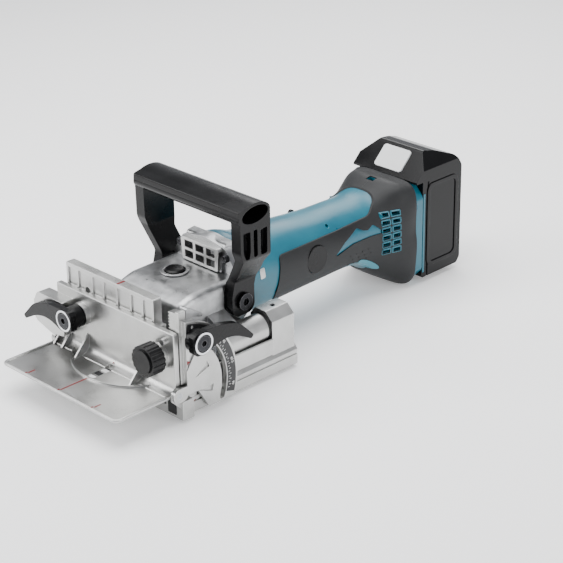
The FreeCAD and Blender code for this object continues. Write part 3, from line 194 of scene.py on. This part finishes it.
def make_metals():
    """Finishes for the record's metal slots."""
    # Each edge colour paints the edges lighter: partly wear, partly a painted highlight.
    return {
        "alloy": metal("satin_alloy", (0.44, 0.44, 0.43), (0.54, 0.54, 0.53), 0.34, grain=0.35, depth=0.008,
                       edge=(0.80, 0.80, 0.79)),
        "rough_cast": metal("cast_alloy", (0.34, 0.345, 0.35), (0.50, 0.505, 0.51), 0.36, grain=0.9,
                            depth=0.14, patch=8, edge=(0.62, 0.62, 0.63)),
        "steel": metal("ground_steel", (0.40, 0.41, 0.43), (0.52, 0.53, 0.55), 0.3, grain=0.5, depth=0.008,
                       edge=(0.7, 0.7, 0.72)),
        "plated": metal("bright_plating", (0.62, 0.63, 0.65), (0.74, 0.75, 0.77), 0.16, grain=1.5,
                        depth=0.003),
        "bearing_steel": metal("bearing_steel", (0.55, 0.56, 0.58), (0.66, 0.67, 0.69), 0.2),
        "dark_steel": metal("blacked_steel", (0.02, 0.02, 0.022), (0.045, 0.046, 0.05), 0.36,
                            edge=(0.20, 0.20, 0.21)),
        "copper": metal("copper_and_iron", (0.42, 0.2, 0.1), (0.62, 0.34, 0.2), 0.36),
    }


def make_mouldings():
    """Finishes for the record's plastic and rubber slots, and the paler teal of one panel."""
    # Each edge colour paints the edges lighter: partly wear, partly a painted highlight.
    return {
        "carbon": plastic("carbon", (0.015, 0.015, 0.016), (0.04, 0.04, 0.042), 0.7, grain=0.3),
        "black_plastic": plastic("black_moulding", (0.002, 0.002, 0.0022), (0.004, 0.004, 0.0045), 0.26,
                                 grain=0.35, depth=0.02, edge=(0.012, 0.012, 0.013), gloss=0.22),
        "black_gloss": plastic("battery_moulding", (0.0015, 0.0015, 0.0018), (0.003, 0.003, 0.0035), 0.20,
                               grain=0.8, depth=0.008, edge=(0.010, 0.010, 0.011), gloss=0.22),
        "light_plastic": plastic("pale_moulding", (0.66, 0.67, 0.67), (0.76, 0.77, 0.77), 0.34, grain=0.5,
                                 depth=0.012),
        "teal_plastic": plastic("teal_moulding", (0.005, 0.100, 0.150), (0.008, 0.130, 0.185), 0.32,
                                grain=0.45, depth=0.018, edge=(0.02, 0.20, 0.27)),
        "pale_teal": plastic("pale_teal_moulding", (0.03, 0.21, 0.28), (0.05, 0.26, 0.33), 0.30,
                             grain=0.45, depth=0.018, edge=(0.1, 0.34, 0.41)),
        "overmould": plastic("soft_grip", (0.009, 0.0095, 0.0105), (0.018, 0.019, 0.020), 0.52, grain=0.3,
                             depth=0.05, edge=(0.03, 0.031, 0.033), gloss=0.28),
        "rubber": plastic("rubber", (0.008, 0.008, 0.008), (0.016, 0.016, 0.016), 0.68, grain=0.4,
                          depth=0.04),
    }


def make_prints():
    """Finishes for the printed marks and for the black scale plate."""
    return {
        "scale_black": plastic("scale_enamel", (0.006, 0.006, 0.007), (0.012, 0.012, 0.013), 0.3,
                               grain=0.7, depth=0.006),
        "red_print": plastic("red_print", (0.16, 0.001, 0.002), (0.22, 0.002, 0.004), 0.45, grain=0.3,
                             depth=0.01),
        "white_print": plastic("white_print", (0.72, 0.72, 0.71), (0.84, 0.84, 0.83), 0.45, grain=0.3,
                               depth=0.01),
    }


materials = {**make_metals(), **make_mouldings(), **make_prints()}
# Pieces whose finish in the photograph differs from their slot's.
OWN_FINISH = {"angle_lever_bolt": "dark_steel", "fence_lever_bolt": "dark_steel", "upright_cap": "rough_cast"}
for row in frame["record"]["subparts"]:
    node = frame["nodes"][row["node"]]
    node.data.materials.clear()
    node.data.materials.append(materials[OWN_FINISH.get(row["node"], row["material_slot"])])


# ---------------------------------------------------------------- printed marks, trims and labels

# Where each plane's two directions and its normal stand in (x, y, z).
AXES = {"XY": (0, 1, 2), "XZ": (0, 2, 1), "YZ": (1, 2, 0)}

# Height of the axis that the angle guide tilts about, in millimetres.
TILT_HEIGHT = 21.8


def finish_piece(name, mesh_data, finish, body, bevel=0.0):
    """Turn a bmesh in millimetres into a piece that moves with a body and takes a finish."""
    for vertex in mesh_data.verts:
        vertex.co = at(*vertex.co)
    bmesh.ops.recalc_face_normals(mesh_data, faces=mesh_data.faces)
    mesh = bpy.data.meshes.new(name)
    mesh_data.to_mesh(mesh)
    mesh_data.free()
    piece = bpy.data.objects.new(name, mesh)
    bpy.context.scene.collection.objects.link(piece)
    mesh.materials.append(materials[finish])
    if bevel:
        rounding = piece.modifiers.new("rounding", "BEVEL")
        rounding.width = bevel * MM
        rounding.segments = 2
        rounding.angle_limit = math.radians(40)
    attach(piece, body)
    return piece


def ring_at(data, plane, loop, level):
    """The loop's points as vertices at one level along the plane's normal."""
    first, second, third = AXES[plane]
    ring = []
    for u, v in loop:
        spot = [0, 0, 0]
        spot[first], spot[second], spot[third] = u, v, level
        ring.append(data.verts.new(spot))
    return ring


def stitch(data, near, far):
    """Join two rings of as many vertices with a belt of faces."""
    for i, vertex in enumerate(near):
        j = (i + 1) % len(near)
        data.faces.new((vertex, near[j], far[j], far[i]))


def add_prism(data, plane, loop, low, high):
    """A closed outline (u, v) in a plane, made solid between two coordinates on the plane's normal."""
    lower, upper = (ring_at(data, plane, loop, level) for level in (low, high))
    data.faces.new(lower)
    data.faces.new(upper)
    stitch(data, lower, upper)


def bar(u0, u1, v0, v1):
    return [(u0, v0), (u1, v0), (u1, v1), (u0, v1)]


def round_loop(u0, u1, v0, v1, radius, steps=6):
    """A rectangle with rounded corners."""
    points = []
    for cu, cv, start in ((u1 - radius, v1 - radius, 0), (u0 + radius, v1 - radius, 90),
                          (u0 + radius, v0 + radius, 180), (u1 - radius, v0 + radius, 270)):
        for i in range(steps + 1):
            angle = math.radians(start + 90 * i / steps)
            points.append((cu + radius * math.cos(angle), cv + radius * math.sin(angle)))
    return points


def circle(u, v, radius, count=48):
    return [(u + radius * math.cos(2 * math.pi * i / count), v + radius * math.sin(2 * math.pi * i / count))
            for i in range(count)]


def prisms(name, plane, loops, low, high, finish, slot, body, bevel=0.0):
    """One piece made of prisms."""
    data = bmesh.new()
    for loop in loops:
        add_prism(data, plane, loop, low, high)
    return finish_piece(name, data, finish, body, bevel)


def band(name, plane, outer, inner, low, high, finish, body, bevel):
    """One piece made of a ring between two outlines, with the given finish."""
    data = bmesh.new()
    rings = [ring_at(data, plane, loop, level)
             for loop, level in ((outer, low), (outer, high), (inner, high), (inner, low))]
    for near, far in zip(rings, rings[1:] + rings[:1]):
        stitch(data, near, far)
    return finish_piece(name, data, finish, body, bevel)


def hub_ring(name, plane, centre, outer, inner, low, high, finish, body, bevel):
    """A round ring about a centre in a plane."""
    band(name, plane, circle(*centre, outer), circle(*centre, inner), low, high, finish, body, bevel)


def surface_x(y, z, side, nodes):
    """The outermost x of the given CAD nodes at (y, z), in millimetres, or None past their edge."""
    best = None
    for node in nodes:
        held = frame["nodes"][node]
        into = held.matrix_world.inverted()
        start = into @ at(side * 90, y, z)
        way = (into.to_3x3() @ Vector((-side, 0, 0))).normalized()
        hit, spot, _, _ = held.ray_cast(start, way)
        if hit:
            x = (held.matrix_world @ spot).x / MM
            if best is None or side * x > side * best:
                best = x
    return best


def draped(name, loops, side, nodes, lift, finish, rings=6):
    """Thin skins on the motor shells, each filled ring by ring from an outline (y, z) to its inner one.

    An outline without an inner one is filled nearly to its middle and closed there.
    """
    # Where a ray misses the shells, the skin keeps to this distance from the middle plane.
    spare_x = 30
    data = bmesh.new()
    for outer, inner in loops:
        centre = [sum(point[k] for point in outer) / len(outer) for k in (0, 1)]
        reach = 1 if inner else 0.97
        sheets = []
        for step in range(rings + 1):
            share = step / rings
            ring = []
            for i, point in enumerate(outer):
                goal = inner[i] if inner else centre
                y = point[0] + (goal[0] - point[0]) * share * reach
                z = point[1] + (goal[1] - point[1]) * share * reach
                x = surface_x(y, z, side, nodes)
                if x is None:
                    x = side * spare_x
                ring.append(data.verts.new((x + side * lift, y, z)))
            sheets.append(ring)
        for near, far in zip(sheets, sheets[1:]):
            stitch(data, near, far)
        if not inner:
            data.faces.new(sheets[-1])
    piece = finish_piece(name, data, finish, "power_unit")
    thick = piece.modifiers.new("thickness", "SOLIDIFY")
    thick.thickness = (lift + 0.3) * MM
    thick.offset = 0
    return piece


def numeral(name, words, height, spot, turn, body):
    """A printed number on the quadrant, facing +X, its baseline turned in the plane."""
    data = bpy.data.curves.new(name, "FONT")
    data.body = words
    data.size = height * MM
    data.align_x = "CENTER"
    data.align_y = "CENTER"
    data.extrude = 0.05 * MM
    data.offset = 0.06 * MM
    piece = bpy.data.objects.new(name, data)
    bpy.context.scene.collection.objects.link(piece)
    data.materials.append(materials["white_print"])
    upright = Matrix(((0, 0, 1), (1, 0, 0), (0, 1, 0))).to_4x4()
    piece.matrix_world = Matrix.Translation(at(*spot)) @ upright @ Matrix.Rotation(turn, 4, "Z")
    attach(piece, body)
    return piece


def on_arc(radius, degrees):
    """A point (y, z) around the angle guide's tilting axis."""
    angle = math.radians(degrees)
    return (radius * math.cos(angle), TILT_HEIGHT + radius * math.sin(angle))


def make_fence_marks():
    """The fence's cutting marks, rim and sight window, and the ribs on the angle guide's bar."""
    red = ("red_print", "alloy", "fence")
    half, side_mark = 0.7, 39
    floor_print, rim_print = (21.38, 21.46), (22.2, 22.42)
    edge_lines = [bar(x - half, x + half, -54, -47) for x in (-side_mark, side_mark)]
    rim_lines = [bar(x - half, x + half, -56.2, -54.2) for x in (-side_mark, 0, side_mark)]
    prisms("fence_centre_line", "XY", [bar(-half, half, -54, -28)], *floor_print, *red)
    prisms("fence_edge_lines", "XY", edge_lines, *floor_print, *red)
    prisms("fence_rim_lines", "XY", rim_lines, *rim_print, *red)
    prisms("window_arrow", "XY", [[(0, -3.4), (-1.9, -0.6), (1.9, -0.6)]], 24.4, 24.9, *red)
    outer = round_loop(-67.2, 67.2, -56.4, -1, 4.4)
    inner = round_loop(-65.2, 65.2, -54.4, -2, 3)
    band("fence_rim", "XY", outer, inner, 21.8, 22.35, "alloy", "fence", 0.3)
    window_half = 3.5
    for name, finish, spans in (("sight_white", "white_print", ((-12.5, -8.5), (-26, -21.5))),
                                ("sight_black", "scale_black", ((-18.5, -14.5),))):
        marks = [bar(-window_half, window_half, a, b) for a, b in spans]
        prisms(name, "XY", marks, 20.2, 20.9, finish, "alloy", "fence")
    guide = ("alloy", "angle_guide")
    prisms("bar_centre_mark", "XY", [bar(-0.8, 0.8, 5.2, 12.6)], 87.4, 87.8, "red_print", *guide)
    ribs = [bar(x, x + 0.9, 5.4, 12.4) for x in (*range(-60, -1, 2), *range(2, 40, 2))]
    prisms("bar_ribs", "XY", ribs, 87.4, 87.75, "alloy", *guide)


def make_quadrant_marks():
    """The angle scale, the line on the base, and the rings around the hubs and the lock button."""
    face = 72.65
    first, step = -12, 2.5
    tick_foot, tick_tip = 0.5, 1.2
    # Half a tick, 0.18 millimetres, as degrees at the scale's radius of 50.
    spare = 0.18 * 57.3 / 50
    ticks = []
    for i in range(37):
        angle = first + i * step
        inner = 50.0 if i % 2 else 48.9
        low, high = inner - tick_foot, inner + tick_tip
        corners = ((low, -spare), (high, -spare), (high, spare), (low, spare))
        ticks.append([on_arc(radius, angle + shift) for radius, shift in corners])
    prisms("scale_ticks", "YZ", ticks, face - 0.05, face + 0.06, "white_print", "scale_black", "angle_guide")
    number_radius, number_height = 53.4, 3.0
    for words, angle in (("0", 75), ("22.5", 54), ("45", 33), ("67.5", 12), ("90", -9)):
        y, z = on_arc(number_radius, angle)
        numeral("scale_" + words.replace(".", "_"), words, number_height, (face + 0.05, y, z),
                math.radians(angle - 90), "angle_guide")
    prisms("angle_pointer", "YZ", [[(8.3, 44.5), (8.3, 48), (11.5, 46.2)]], 72.3, 72.5, "red_print", "alloy",
           "angle_guide")
    prisms("base_side_line", "YZ", [bar(6, 20, 9.45, 10.35)], 66.75, 66.95, "red_print", "alloy", "base")
    angle_hub, fence_hub, lock_button = (15.22, 63.62), (-37, 53), (-8, 69)
    hub_ring("angle_hub_ring", "YZ", angle_hub, 8.6, 7.0, 83.9, 84.35, "plated", "angle_lever", 0.12)
    hub_ring("fence_hub_ring", "XZ", fence_hub, 8.6, 7.0, -19.35, -18.9, "plated", "fence_lever", 0.12)
    hub_ring("lock_well_ring", "XY", lock_button, 11.4, 8.7, 74.9, 76.1, "rough_cast", "power_unit", 0.4)


def vent_frames():
    """Two columns of six slots (y, z), each with the outline of the raised frame around it."""
    length, height, rim = 7, 3.4, 0.9
    top, pitch = 70, 6.4
    frames = []
    for back in (264.6, 274.4):
        for i in range(6):
            low = top - pitch * i
            slot = round_loop(back, back + length, low, low + height, 0.3, 2)
            around = round_loop(back - rim, back + (length + rim), low - rim, low + (height + rim), 0.8, 2)
            frames.append((around, slot))
    return frames


def slanted_oval():
    """The outline (y, z) of the paler panel low on each shell."""
    points = []
    for i in range(28):
        turn = 2 * math.pi * i / 28
        points.append((254 + 13 * math.cos(turn) * 0.92 - 7 * math.sin(turn) * 0.5,
                       30 - 8 * math.cos(turn) * 0.75 + 6 * math.sin(turn) * 0.9))
    return points


def grip_dimples():
    """Three staggered rows of four small dots (y, z) on the soft grip."""
    pitch, row_pitch, radius = 7, 4.4, 0.75
    return [(circle(228 + pitch * i + 3.5 * (row % 2), 47 - row_pitch * row, radius, 8), None)
            for row in range(3) for i in range(4)]


def make_shell_details():
    """Raised trims on the motor shells and on the battery, the same on both sides."""
    teal = "teal_plastic"
    badge = round_loop(122, 127.6, 62.4, 70.6, 1.2, 3)
    battery_side, frame_lift = 36.3, 0.9
    frame_outer = round_loop(314, 353.5, 12, 88, 7)
    frame_inner = round_loop(317.4, 350.1, 15.4, 84.6, 5)
    trim = bar(309.2, 311.4, 8, 80)
    for side, hand in ((1, "left"), (-1, "right")):
        shells = (f"housing_{hand}", f"grip_panel_{hand}")
        draped(f"vent_frames_{hand}", vent_frames(), side, shells, 0.25, teal, rings=1)
        draped(f"lower_panel_{hand}", [(slanted_oval(), None)], side, shells, 0.25, "pale_teal")
        draped(f"collar_badge_{hand}", [(badge, None)], side, shells, 0.2, "alloy")
        draped(f"grip_dimples_{hand}", grip_dimples(), side, shells, 0.12, "rubber", rings=2)
        face = side * battery_side
        low, high = sorted((face, face + side * frame_lift))
        band(f"battery_frame_{hand}", "YZ", frame_outer, frame_inner, low, high, "black_gloss", "battery",
             0.35)
        low, high = sorted((side * 36.1, side * 36.75))
        prisms(f"battery_trim_{hand}", "YZ", [trim], low, high, teal, teal, "battery", 0.2)
    rear_outer = round_loop(-25, 25, 16, 86, 6)
    rear_inner = round_loop(-21.5, 21.5, 19.5, 82.5, 4)
    band("battery_rear_frame", "XZ", rear_outer, rear_inner, 358.3, 359.3, "black_gloss", "battery", 0.3)


def make_springs():
    """Two coil springs of round wire."""
    start, end, radius, wire, turns = 20.9, 54.6, 6.9, 0.8, 6.5
    rod_side, rod_height = 54, 37
    steps = int(turns * 28)
    climb = end - start - 2 * wire
    around = [2 * math.pi * k / 8 for k in range(8)]
    data = bmesh.new()
    for side in (-1, 1):
        last = None
        for i in range(steps + 1):
            angle = 2 * math.pi * turns * i / steps
            out = Vector((math.cos(angle), 0, math.sin(angle)))
            middle = Vector((side * rod_side, start + wire + climb * i / steps, rod_height)) + out * radius
            ring = [data.verts.new(middle + wire * (math.cos(t) * out + math.sin(t) * Vector((0, 1, 0))))
                    for t in around]
            if last:
                stitch(data, last, ring)
            else:
                data.faces.new(ring)
            last = ring
        data.faces.new(last)
    springs = finish_piece("plunge_springs", data, "steel", "base")
    for face in springs.data.polygons:
        face.use_smooth = True
    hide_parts("return_springs")
    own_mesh(springs)


make_fence_marks()
make_quadrant_marks()
make_springs()
make_shell_details()


# ---------------------------------------------------------------- camera, light and floor

def make_camera():
    """The photograph's view: angles, focal length and place found by matching points of the tool."""
    azimuth, elevation, roll = (math.radians(angle) for angle in (45.696, 24.753, -0.915))
    forward = Vector((-math.sin(azimuth) * math.cos(elevation), math.cos(azimuth) * math.cos(elevation),
                      -math.sin(elevation)))
    level = Vector((math.cos(azimuth), math.sin(azimuth), 0))
    upright = level.cross(forward)
    right = math.cos(roll) * level + math.sin(roll) * upright
    up = -math.sin(roll) * level + math.cos(roll) * upright
    data = bpy.data.cameras.new("camera")
    data.lens = 111.9
    data.clip_start = 0.01
    camera = bpy.data.objects.new("camera", data)
    bpy.context.scene.collection.objects.link(camera)
    turn = Matrix((right, up, -forward)).transposed().to_4x4()
    camera.matrix_world = Matrix.Translation(at(930.2, -731.8, 631.8)) @ turn
    bpy.context.scene.camera = camera


def area_light(name, place, target, width, height, power):
    data = bpy.data.lights.new(name, "AREA")
    data.shape = "RECTANGLE"
    data.size = width
    data.size_y = height
    data.energy = power
    lamp = bpy.data.objects.new(name, data)
    bpy.context.scene.collection.objects.link(lamp)
    lamp.location = place
    lamp.rotation_euler = (Vector(target) - Vector(place)).to_track_quat("-Z", "Y").to_euler()


def make_studio():
    """Soft white surroundings, four area lights and a pale floor under the tool."""
    world = bpy.data.worlds.new("studio")
    world.use_nodes = True
    world.node_tree.nodes["Background"].inputs["Color"].default_value = (0.93, 0.95, 1, 1)
    world.node_tree.nodes["Background"].inputs["Strength"].default_value = 0.48
    bpy.context.scene.world = world
    middle = (0, 0.12, 0.06)
    area_light("top_light", (-0.15, 0.15, 1.1), middle, 1.1, 1.1, 22)
    area_light("left_light", (-0.75, -0.85, 0.75), middle, 0.7, 0.9, 12)
    area_light("right_light", (1.15, 0.35, 0.55), middle, 0.5, 0.9, 7)
    area_light("rear_light", (-0.5, 1.1, 0.8), middle, 0.8, 0.5, 6)
    mesh = bpy.data.meshes.new("floor")
    half = 4
    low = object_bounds()[0][2]
    mesh.from_pydata([(-half, -half, low), (half, -half, low), (half, half, low), (-half, half, low)], [],
                     [(0, 1, 2, 3)])
    floor = bpy.data.objects.new("floor", mesh)
    bpy.context.scene.collection.objects.link(floor)
    paint = Paint("floor", 0.7)
    cloud = paint.spread(paint.noise(300, 2), 0, 1)
    paint.colour(paint.blend(cloud, (0.95, 0.95, 0.955), (0.97, 0.97, 0.97)))
    paint.shader.inputs["Emission Color"].default_value = (1, 1, 1, 1)
    paint.shader.inputs["Emission Strength"].default_value = 0.25
    mesh.materials.append(paint.material)


make_camera()
make_studio()
